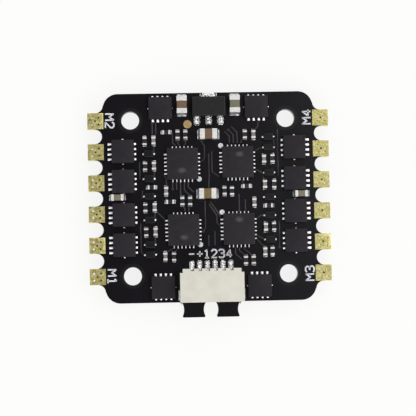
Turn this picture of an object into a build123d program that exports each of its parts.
from build123d import *
import os

os.makedirs("parts", exist_ok=True)

# A four-channel brushless motor speed controller: one square circuit board with twelve plated
# motor tabs, two battery tabs, a power stage and a gate driver for each motor, and a signal socket.
# Millimetres. The origin is the centre of the four mounting holes on the board's underside face,
# +X runs to the motor 3 and 4 side, +Y away from the battery tabs, +Z out of the socket side.

# ---- Board ------------------------------------------------------------------------------------
board_width = 27.0
board_depth = 26.9
board_thickness = 1.2
board_corner_radius = 1.9
hole_spacing = 20.0
hole_diameter = 2.3

# ---- Motor tabs -------------------------------------------------------------------------------
motor_tab_pitch = 4.0
motor_tab_width = 2.05
motor_tab_reach = 2.0
slot_root_land = 0.15
strip_overlap = 1.0
motor_tabs_per_side = 6
plating = 0.06
pad_inner_overlap = 0.05
via_drill = 0.4
via_bore = 0.26
via_offset = 0.45

# ---- Battery tabs -----------------------------------------------------------------------------
battery_tab_width = 3.1
battery_tab_waist = 0.29
battery_tab_reach = 1.95
battery_tab_pitch = 4.38
battery_tab_shift = -0.08
battery_root_radius = 0.4
battery_corner_radius = 0.15
battery_pad_margin = 0.2
battery_pad_inset = 1.0

# ---- Power transistors, 3 mm leadless packages -------------------------------------------------
mosfet_length = 2.9
mosfet_width = 3.05
mosfet_height = 0.8
mosfet_leads_per_side = 4
mosfet_lead_pitch = 0.65
mosfet_lead_width = 0.42
mosfet_lead_height = 0.22
mosfet_lead_embed = 0.3
mosfet_inner_reach = 0.33
mosfet_column_reach = 0.48
mosfet_row_reach = 0.25
mosfet_edge_margin = 1.03
mosfet_row_margin = 0.5
mosfet_middle_gap = 1.25
mosfet_column_gap = 0.8
mosfet_outer_lift = 0.2
mosfet_lower_lift = 0.15
mosfet_upper_lift = 0.05
mosfet_socket_gap = 0.4
tie_bar_width = 0.28
tie_bar_reach = 0.05
tie_bar_height = 0.16

# ---- Gate drivers and microcontrollers, quad flat no-lead packages ------------------------------
driver_size = 4.0
driver_height = 0.75
driver_pads_per_side = 6
controller_size = 3.0
controller_height = 0.75
controller_pads_per_side = 5
quad_pad_pitch = 0.5
quad_pad_width = 0.26
quad_pad_height = 0.2
quad_pad_embed = 0.3
quad_pad_reach = 0.34

# ---- Voltage regulator --------------------------------------------------------------------------
regulator_length = 4.2
regulator_width = 2.45
regulator_height = 1.5
regulator_edge_margin = 0.65
regulator_x = 0.1
regulator_lead_pitch = 1.5
regulator_lead_width = 0.5
regulator_lead_reach = 0.95
regulator_tab_width = 1.9
regulator_tab_tip = 1.45
regulator_tab_reach = 0.6
regulator_metal = 0.4
regulator_embed = 0.3
regulator_chamfer = 0.12

# ---- Signal socket, six ways at 1 mm, mouth flush with the board edge ---------------------------
socket_ways = 6
socket_pitch = 1.0
socket_end_margin = 1.55
socket_depth = 4.25
socket_height = 2.95
socket_side_wall = 0.7
socket_floor = 0.55
socket_roof = 0.4
socket_rear_wall = 0.8
socket_rear_slot = 0.3
socket_rear_slot_width = 0.45
socket_shoulder = 0.35
socket_shoulder_depth = 0.5
socket_x = 0.05
contact_width = 0.35
contact_thickness = 0.2
contact_height = 1.45
contact_setback = 1.1
contact_tail = 0.95
anchor_length = 1.3
anchor_setback = 0.25
anchor_height = 1.2
anchor_thickness = 0.2
anchor_foot = 0.2

# ---- Two-terminal chips: length, width, height, end cap length ----------------------------------
chip_0805 = (2.2, 1.3, 1.25, 0.62)
chip_0603 = (1.6, 0.8, 0.8, 0.35)
chip_0402_capacitor = (1.0, 0.52, 0.5, 0.25)
chip_0402_resistor = (1.0, 0.52, 0.35, 0.22)
end_cap_wall = 0.03
bulk_capacitor_margin = 1.6
phase_capacitor_margin = 1.7
diode_length = 1.2
diode_width = 0.8
diode_height = 0.6
diode_lead_reach = 0.2
diode_lead_width = 0.32
diode_lead_height = 0.14
diode_chamfer = 0.08

test_pad_diameter = 1.05
test_pad_height = 0.05

# ---- Derived places ---------------------------------------------------------------------------
half_width = board_width / 2
half_depth = board_depth / 2
top = board_thickness
underside = 0
tab_end_x = half_width + motor_tab_reach
slot_radius = (motor_tab_pitch - motor_tab_width) / 2
slot_centre_x = half_width + slot_root_land + slot_radius
battery_end_y = -half_depth - battery_tab_reach
socket_half_width = (socket_ways - 1) * socket_pitch / 2 + socket_end_margin
column_x = half_width - mosfet_edge_margin - mosfet_length / 2
row_x = socket_half_width + anchor_foot + mosfet_socket_gap + mosfet_width / 2
row_y = half_depth - mosfet_row_margin - mosfet_length / 2
inner_y = (mosfet_middle_gap + mosfet_width) / 2
outer_y = inner_y + mosfet_width + mosfet_column_gap
tab_ys = [motor_tab_pitch * (i - (motor_tabs_per_side - 1) / 2) for i in range(motor_tabs_per_side)]

# Each motor has three phases: the tab row (0 is nearest the battery edge) and the side it is on.
motors = {
    "m1": (-1, (0, 1, 2)),
    "m2": (-1, (3, 4, 5)),
    "m3": (1, (0, 1, 2)),
    "m4": (1, (3, 4, 5)),
}
phases = ("a", "b", "c")

# Driver centres, and the places of the two column transistors of each motor. The pairs stand clear
# of the phase capacitors at the middle of the board, a little higher on the motor 3 and 4 side.
driver_places = {"m1": (-3.4, -4.2), "m2": (-3.4, 4.3), "m3": (3.7, -4.2), "m4": (3.7, 4.4)}
column_ys = {
    ("m1", 1): -outer_y,
    ("m1", 2): -inner_y,
    ("m2", 3): inner_y,
    ("m2", 4): outer_y,
    ("m3", 1): -outer_y + mosfet_outer_lift,
    ("m3", 2): -inner_y + mosfet_lower_lift,
    ("m4", 3): inner_y + mosfet_upper_lift,
    ("m4", 4): outer_y + mosfet_outer_lift,
}

# Small parts by kind: x, y and turn in degrees. A turn of 90 stands the chip's length along Y.
top_row_y = half_depth - bulk_capacitor_margin
phase_capacitor_x = half_width - phase_capacitor_margin
bulk_capacitor_places = [(-3.35, top_row_y, 90), (3.45, top_row_y, 90), (0.0, 8.05, 0), (-0.25, 0.4, 0)]
phase_capacitor_places = [(-phase_capacitor_x, 0.1, 0), (phase_capacitor_x, 0.2, 0)]
small_capacitor_places = [
    (-7.05, 7.35, 90), (-7.05, 4.1, 90), (-7.05, -1.2, 90), (-7.0, -4.35, 90), (-5.55, 0.85, 90),
    (-5.8, -7.55, 90), (5.8, 7.95, 90), (7.1, 4.75, 90), (7.15, 1.5, 90), (5.75, -0.8, 90),
    (7.15, -4.0, 90), (7.0, -7.15, 90),
]
resistor_places = [
    (-8.2, 7.3, 90), (-8.2, 4.05, 90), (-8.25, -1.25, 90), (-8.2, -4.4, 90), (-3.95, 8.05, 90),
    (-2.95, 8.05, 90), (-3.5, -0.5, 90), (-2.5, -0.5, 90), (-4.7, -7.6, 90), (4.7, 7.95, 90),
    (8.2, 4.8, 90), (8.35, 1.5, 90), (1.95, 0.75, 90), (2.9, 0.7, 90), (8.2, -3.95, 90),
    (7.95, -7.1, 90), (4.5, -8.2, 90), (5.5, -8.2, 90), (-5.4, 8.4, 0), (-7.4, 1.35, 0),
    (-5.05, -0.55, 0), (4.8, 1.3, 0), (7.6, -1.25, 0),
]
diode_x = 7.7
diode_places = [
    (-diode_x, 5.65), (-diode_x, 2.45), (-diode_x, 0.2), (-diode_x, -2.85), (-diode_x, -6.0),
    (-diode_x, -7.3), (diode_x, 7.6), (diode_x, 6.25), (diode_x, 3.0), (diode_x, -0.15),
    (diode_x, -2.5), (diode_x, -5.6),
]
test_pad_place = (-2.65, 9.4)

# Around each microcontroller: offsets of its own small chips, out from the board's middle.
controller_capacitor_offsets = [(2.4, 0.6), (2.4, -0.6)]
controller_resistor_offsets = [(-0.7, 2.6), (0.7, 2.6)]

# Boxes stand on z = 0, about the Z axis or running back from the XZ plane.
STANDING = (Align.CENTER, Align.CENTER, Align.MIN)
RUNNING_BACK = (Align.CENTER, Align.MIN, Align.MIN)


# ---- Placing and writing ------------------------------------------------------------------------
def on_top(shape, x, y, turn=0):
    """Stand a shape built on z = 0 on the board's top face."""
    return Pos(x, y, top) * Rot(0, 0, turn) * shape


def on_underside(shape, x, y, turn=0):
    """Hang the same shape under the board, over the same spot and pointing the same way."""
    return Pos(x, y, underside) * Rot(180, 0, 0) * Rot(0, 0, -turn) * shape


def write(node, shapes):
    """One STEP file for a node, which holds one solid or a group of like solids."""
    solids = [solid for shape in shapes for solid in shape.solids()]
    export_step(solids[0] if len(solids) == 1 else Compound(children=solids), f"parts/{node}.step")


# ---- Circuit board ------------------------------------------------------------------------------
def motor_side(side):
    """Tab strip on one side: a bar with a round-bottomed slot between every two tabs."""
    outer_flank = tab_ys[-1] + motor_tab_width / 2
    strip_length = 2 * (outer_flank + slot_radius)
    strip_width = motor_tab_reach + strip_overlap
    strip = Pos(side * (tab_end_x - strip_width / 2), 0) * Rectangle(strip_width, strip_length)
    slot_tail = Rectangle(motor_tab_reach, 2 * slot_radius)
    slot = Circle(slot_radius) + Pos(side * motor_tab_reach / 2, 0) * slot_tail
    for lower_tab in tab_ys[:-1]:
        strip -= Pos(side * slot_centre_x, lower_tab + motor_tab_pitch / 2) * slot
    for end in (-1, 1):
        strip -= Pos(side * (half_width + slot_radius), end * (outer_flank + slot_radius)) * slot
    return strip


def plated_edge(side):
    """Rim of laminate that the plating on each tab's end and flanks stands in for."""
    rims = []
    flank_length = tab_end_x - slot_centre_x
    flank_x = slot_centre_x + flank_length / 2
    for y in tab_ys:
        rims.append(Pos(side * (tab_end_x - plating / 2), y) * Rectangle(plating, motor_tab_width))
        for flank in (-1, 1):
            flank_y = y + flank * (motor_tab_width - plating) / 2
            rims.append(Pos(side * flank_x, flank_y) * Rectangle(flank_length, plating))
    return rims


def battery_tab(centre_x, grow=0.0):
    """Waisted battery tab: straight root and end, hollowed flanks."""
    half = battery_tab_width / 2 + grow
    root_y = -half_depth
    end_y = battery_end_y - grow
    middle_y = (root_y + end_y) / 2
    left = centre_x - half
    right = centre_x + half
    outline = Line((left, root_y), (right, root_y))
    outline += ThreePointArc((right, root_y), (right - battery_tab_waist, middle_y), (right, end_y))
    outline += Line((right, end_y), (left, end_y))
    outline += ThreePointArc((left, end_y), (left + battery_tab_waist, middle_y), (left, root_y))
    tab = make_face(outline)
    end_corners = tab.vertices().group_by(Axis.Y)[0]
    return fillet(end_corners, battery_corner_radius)


def battery_root(centre_x, side):
    """Small fillet where a battery tab's outer flank meets the board edge."""
    corner_x = centre_x + side * battery_tab_width / 2
    radius = battery_root_radius
    patch = Pos(corner_x + side * radius / 2, -half_depth - radius / 2) * Rectangle(radius, radius)
    return patch - Pos(corner_x + side * radius, -half_depth - radius) * Circle(radius)


def battery_centres():
    """X of the negative and the positive battery tab."""
    return [battery_tab_shift + side * battery_tab_pitch / 2 for side in (-1, 1)]


def via_places(y, side):
    """Five plated holes in a motor tab, one in the middle and four about it."""
    middle_x = side * (tab_end_x + half_width) / 2
    around = [(middle_x + sx * via_offset, y + sy * via_offset) for sx in (-1, 1) for sy in (-1, 1)]
    return [(middle_x, y)] + around


def drilled(shape, places, radius):
    """Cut a round hole right through at each place."""
    drill = Cylinder(radius, 3 * board_thickness)
    for x, y in places:
        shape -= Pos(x, y, board_thickness / 2) * drill
    return shape


def circuit_board():
    """Laminate with its tabs, slots, mounting holes and the drillings for the tab vias."""
    outline = RectangleRounded(board_width, board_depth, board_corner_radius)
    for side in (-1, 1):
        outline += motor_side(side)
        for rim in plated_edge(side):
            outline -= rim
    for centre_x, side in zip(battery_centres(), (-1, 1)):
        outline += battery_tab(centre_x)
        outline += battery_root(centre_x, side)
    half_spacing = hole_spacing / 2
    for sx in (-1, 1):
        for sy in (-1, 1):
            outline -= Pos(sx * half_spacing, sy * half_spacing) * Circle(hole_diameter / 2)
    for side in (-1, 1):
        for y in tab_ys:
            for x, via_y in via_places(y, side):
                outline -= Pos(x, via_y) * Circle(via_drill / 2)
    return extrude(outline, board_thickness)


def motor_pad(board, y, side):
    """Plated copper that wraps a motor tab, top, end, flanks and underside, with its via barrels."""
    inner_x = half_width - pad_inner_overlap
    length = tab_end_x - inner_x
    wrap = Pos(side * (inner_x + length / 2), y, -plating) * Box(
        length, motor_tab_width, board_thickness + 2 * plating, align=STANDING
    )
    return drilled(wrap - board, via_places(y, side), via_bore / 2)


def battery_pad(centre_x):
    """Copper land on the underside of a battery tab, running a little way in under the board."""
    land = battery_tab(centre_x, grow=-battery_pad_margin)
    root_y = -half_depth
    inner = Pos(centre_x, root_y + battery_pad_inset / 2) * Rectangle(
        battery_tab_width - 2 * battery_pad_margin, battery_pad_inset
    )
    return Pos(0, 0, -plating) * extrude(land + inner, plating)


# ---- Leadless packages --------------------------------------------------------------------------
def lead_row(count, pitch, edge, reach, embed, width, height):
    """A row of flat leads along the +X edge of a package."""
    length = reach + embed
    lead = Pos(edge - embed + length / 2, 0, 0) * Box(length, width, height, align=STANDING)
    return [Pos(0, pitch * (i - (count - 1) / 2), 0) * lead for i in range(count)]


def mosfet_leads(reach):
    """The row of leads along a transistor's +X edge, sticking out by the given reach."""
    return lead_row(
        mosfet_leads_per_side,
        mosfet_lead_pitch,
        mosfet_length / 2,
        reach,
        mosfet_lead_embed,
        mosfet_lead_width,
        mosfet_lead_height,
    )


def mosfet(outer_reach):
    """Power transistor: moulded body, leads on two sides and the cut tie bars on the others."""
    body = Box(mosfet_length, mosfet_width, mosfet_height, align=STANDING)
    leads = mosfet_leads(outer_reach)
    leads += [Rot(0, 0, 180) * lead for lead in mosfet_leads(mosfet_inner_reach)]
    for side in (-1, 1):
        bar = Box(tie_bar_width, 2 * tie_bar_reach, tie_bar_height, align=STANDING)
        leads.append(Pos(0, side * mosfet_width / 2, mosfet_lead_height) * bar)
    return body - leads, leads


def quad_package(size, height, pads_per_side):
    """Quad flat package: square moulded body with a row of pads under each edge."""
    body = Box(size, size, height, align=STANDING)
    row = lead_row(
        pads_per_side,
        quad_pad_pitch,
        size / 2,
        quad_pad_reach,
        quad_pad_embed,
        quad_pad_width,
        quad_pad_height,
    )
    pads = [Rot(0, 0, 90 * quarter) * pad for quarter in range(4) for pad in row]
    return body - pads, pads


def mosfet_places():
    """Where each motor's three transistors stand: node suffix, x, y, turn and outer lead reach."""
    places = []
    for motor, (side, rows) in motors.items():
        for phase, row in zip(phases, rows):
            outer_row = row in (0, motor_tabs_per_side - 1)
            end = -1 if row == 0 else 1
            if outer_row:
                x = socket_x + side * row_x
                places.append((motor, phase, x, end * row_y, end * 90, mosfet_row_reach))
            else:
                turn = 0 if side > 0 else 180
                y = column_ys[(motor, row)]
                places.append((motor, phase, side * column_x, y, turn, mosfet_column_reach))
    return places


# ---- Voltage regulator ----------------------------------------------------------------------------
def regulator():
    """Three-lead power package with its heat tab at the board's edge."""
    body = Box(regulator_length, regulator_width, regulator_height, align=STANDING)
    body = chamfer(body.edges().group_by(Axis.Z)[-1], regulator_chamfer)
    lead_length = regulator_lead_reach + regulator_embed
    lead_y = -regulator_width / 2 - regulator_lead_reach
    lead = Box(regulator_lead_width, lead_length, regulator_metal, align=RUNNING_BACK)
    metal = [Pos(i * regulator_lead_pitch, lead_y, 0) * lead for i in (-1, 0, 1)]
    root = regulator_width / 2 - regulator_embed
    tip = regulator_width / 2 + regulator_tab_reach
    outline = Polyline(
        (-regulator_tab_width / 2, root),
        (regulator_tab_width / 2, root),
        (regulator_tab_width / 2, regulator_width / 2),
        (regulator_tab_tip / 2, tip),
        (-regulator_tab_tip / 2, tip),
        (-regulator_tab_width / 2, regulator_width / 2),
        close=True,
    )
    metal.append(extrude(make_face(outline), regulator_metal))
    return body - metal, metal


# ---- Signal socket --------------------------------------------------------------------------------
def contact_xs():
    """X of each contact, from the socket's own middle."""
    return [socket_pitch * (i - (socket_ways - 1) / 2) for i in range(socket_ways)]


def socket_contact(x):
    """One contact: blade in the cavity, leg down the rear slot and tail out on the board."""
    rear = socket_depth
    slot_floor = rear - socket_rear_slot
    blade_length = slot_floor + contact_thickness - contact_setback
    blade = Pos(x, contact_setback, contact_height) * Box(
        contact_width, blade_length, contact_thickness, align=RUNNING_BACK
    )
    leg = Pos(x, slot_floor, 0) * Box(
        contact_width, contact_thickness, contact_height + contact_thickness, align=RUNNING_BACK
    )
    tail = Pos(x, slot_floor, 0) * Box(
        contact_width, socket_rear_slot + contact_tail, contact_thickness, align=RUNNING_BACK
    )
    return blade + leg + tail


def socket_anchor(side):
    """Metal tab set into a side wall near the mouth, with a foot soldered to the board."""
    plate_x = side * (socket_half_width - anchor_thickness / 2)
    foot_x = side * (socket_half_width + anchor_foot / 2)
    plate = Box(anchor_thickness, anchor_length, anchor_height, align=RUNNING_BACK)
    foot = Box(anchor_foot, anchor_length, anchor_thickness, align=RUNNING_BACK)
    return Pos(plate_x, anchor_setback, 0) * plate + Pos(foot_x, anchor_setback, 0) * foot


def socket_housing(contacts, anchors):
    """Side-entry housing, mouth towards -Y, with slots in its rear face for the contact legs."""
    body = Box(2 * socket_half_width, socket_depth, socket_height, align=RUNNING_BACK)
    cavity_width = 2 * (socket_half_width - socket_side_wall)
    cavity_height = socket_height - socket_floor - socket_roof
    body -= Pos(0, 0, socket_floor) * Box(
        cavity_width, socket_depth - socket_rear_wall, cavity_height, align=RUNNING_BACK
    )
    shoulder = Box(socket_shoulder, socket_shoulder_depth, socket_height, align=RUNNING_BACK)
    shoulder_x = socket_half_width - socket_shoulder / 2
    for side in (-1, 1):
        body -= Pos(side * shoulder_x, socket_depth - socket_shoulder_depth, 0) * shoulder
    slot = Box(socket_rear_slot_width, socket_rear_slot, socket_height, align=RUNNING_BACK)
    for x in contact_xs():
        body -= Pos(x, socket_depth - socket_rear_slot, 0) * slot
    return body - contacts - anchors


# ---- Two-terminal chips -----------------------------------------------------------------------------
def chip(size):
    """Chip with a body along X and a metal cap over each end: the body, then its two caps."""
    length, width, height, cap = size
    body = Pos(0, 0, end_cap_wall) * Box(
        length - 2 * end_cap_wall, width - 2 * end_cap_wall, height - 2 * end_cap_wall, align=STANDING
    )
    caps = []
    for side in (-1, 1):
        block = Pos(side * (length - cap) / 2, 0, 0) * Box(cap, width, height, align=STANDING)
        caps.append(block - body)
    return body, caps


def diode():
    """Small moulded diode with a flat lead out of each end."""
    body = Box(diode_length, diode_width, diode_height, align=STANDING)
    body = chamfer(body.edges().group_by(Axis.Z)[-1], diode_chamfer)
    length = diode_lead_reach + diode_lead_width
    lead = Pos(diode_length / 2 + diode_lead_reach - length / 2, 0, 0) * Box(
        length, diode_lead_width, diode_lead_height, align=STANDING
    )
    leads = [lead, Rot(0, 0, 180) * lead]
    return body - leads, leads


# ---- The assembly -------------------------------------------------------------------------------------
board = circuit_board()
write("circuit_board", [board])

for motor, (side, rows) in motors.items():
    for phase, row in zip(phases, rows):
        write(f"motor_pad_{motor}_{phase}", [motor_pad(board, tab_ys[row], side)])

for name, centre_x in zip(("negative", "positive"), battery_centres()):
    write(f"battery_pad_{name}", [battery_pad(centre_x)])

top_leads = []
underside_leads = []
underside_bodies = {motor: [] for motor in motors}
for motor, phase, x, y, turn, reach in mosfet_places():
    body, leads = mosfet(reach)
    write(f"mosfet_high_{motor}_{phase}", [on_top(body, x, y, turn)])
    underside_bodies[motor].append(on_underside(body, x, y, turn))
    for lead in leads:
        top_leads.append(on_top(lead, x, y, turn))
        underside_leads.append(on_underside(lead, x, y, turn))
for motor, bodies in underside_bodies.items():
    write(f"mosfets_low_{motor}", bodies)
write("mosfet_high_leads", top_leads)
write("mosfet_low_leads", underside_leads)

driver_body, driver_pads = quad_package(driver_size, driver_height, driver_pads_per_side)
controller_body, controller_pads = quad_package(controller_size, controller_height, controller_pads_per_side)
all_driver_pads = []
all_controller_pads = []
for motor, (x, y) in driver_places.items():
    write(f"gate_driver_{motor}", [on_top(driver_body, x, y)])
    all_driver_pads += [on_top(pad, x, y) for pad in driver_pads]
    write(f"microcontroller_{motor}", [on_underside(controller_body, x, y)])
    all_controller_pads += [on_underside(pad, x, y) for pad in controller_pads]
write("gate_driver_pads", all_driver_pads)
write("microcontroller_pads", all_controller_pads)

regulator_body, regulator_leads = regulator()
regulator_y = half_depth - regulator_edge_margin - regulator_width / 2
write("voltage_regulator_body", [on_top(regulator_body, regulator_x, regulator_y)])
write("voltage_regulator_leads", [on_top(lead, regulator_x, regulator_y) for lead in regulator_leads])

contacts = [socket_contact(x) for x in contact_xs()]
anchors = [socket_anchor(side) for side in (-1, 1)]
socket_y = -half_depth
write("signal_socket_housing", [on_top(socket_housing(contacts, anchors), socket_x, socket_y)])
write("signal_socket_contacts", [on_top(contact, socket_x, socket_y) for contact in contacts])
write("signal_socket_anchors", [on_top(anchor, socket_x, socket_y) for anchor in anchors])

capacitor_caps = []
for node, size, places in (
    ("bulk_capacitor_bodies", chip_0805, bulk_capacitor_places),
    ("phase_capacitor_bodies", chip_0603, phase_capacitor_places),
    ("small_capacitor_bodies", chip_0402_capacitor, small_capacitor_places),
):
    body, caps = chip(size)
    write(node, [on_top(body, x, y, turn) for x, y, turn in places])
    capacitor_caps += [on_top(cap, x, y, turn) for x, y, turn in places for cap in caps]
write("capacitor_end_caps", capacitor_caps)

body, caps = chip(chip_0402_resistor)
write("resistor_bodies", [on_top(body, x, y, turn) for x, y, turn in resistor_places])
write("resistor_end_caps", [on_top(cap, x, y, turn) for x, y, turn in resistor_places for cap in caps])

body, leads = diode()
write("diode_bodies", [on_top(body, x, y) for x, y in diode_places])
write("diode_leads", [on_top(lead, x, y) for x, y in diode_places for lead in leads])

underside_chip_bodies = []
underside_chip_caps = []
for x, y in driver_places.values():
    out_x = 1 if x > 0 else -1
    out_y = 1 if y > 0 else -1
    for size, offsets, turn in (
        (chip_0402_capacitor, controller_capacitor_offsets, 0),
        (chip_0402_resistor, controller_resistor_offsets, 90),
    ):
        body, caps = chip(size)
        for dx, dy in offsets:
            place = (x + out_x * dx, y + out_y * dy, turn)
            underside_chip_bodies.append(on_underside(body, *place))
            underside_chip_caps += [on_underside(cap, *place) for cap in caps]
write("underside_chip_bodies", underside_chip_bodies)
write("underside_chip_end_caps", underside_chip_caps)

test_pad = Cylinder(test_pad_diameter / 2, test_pad_height, align=STANDING)
write("test_pad", [on_top(test_pad, *test_pad_place)])
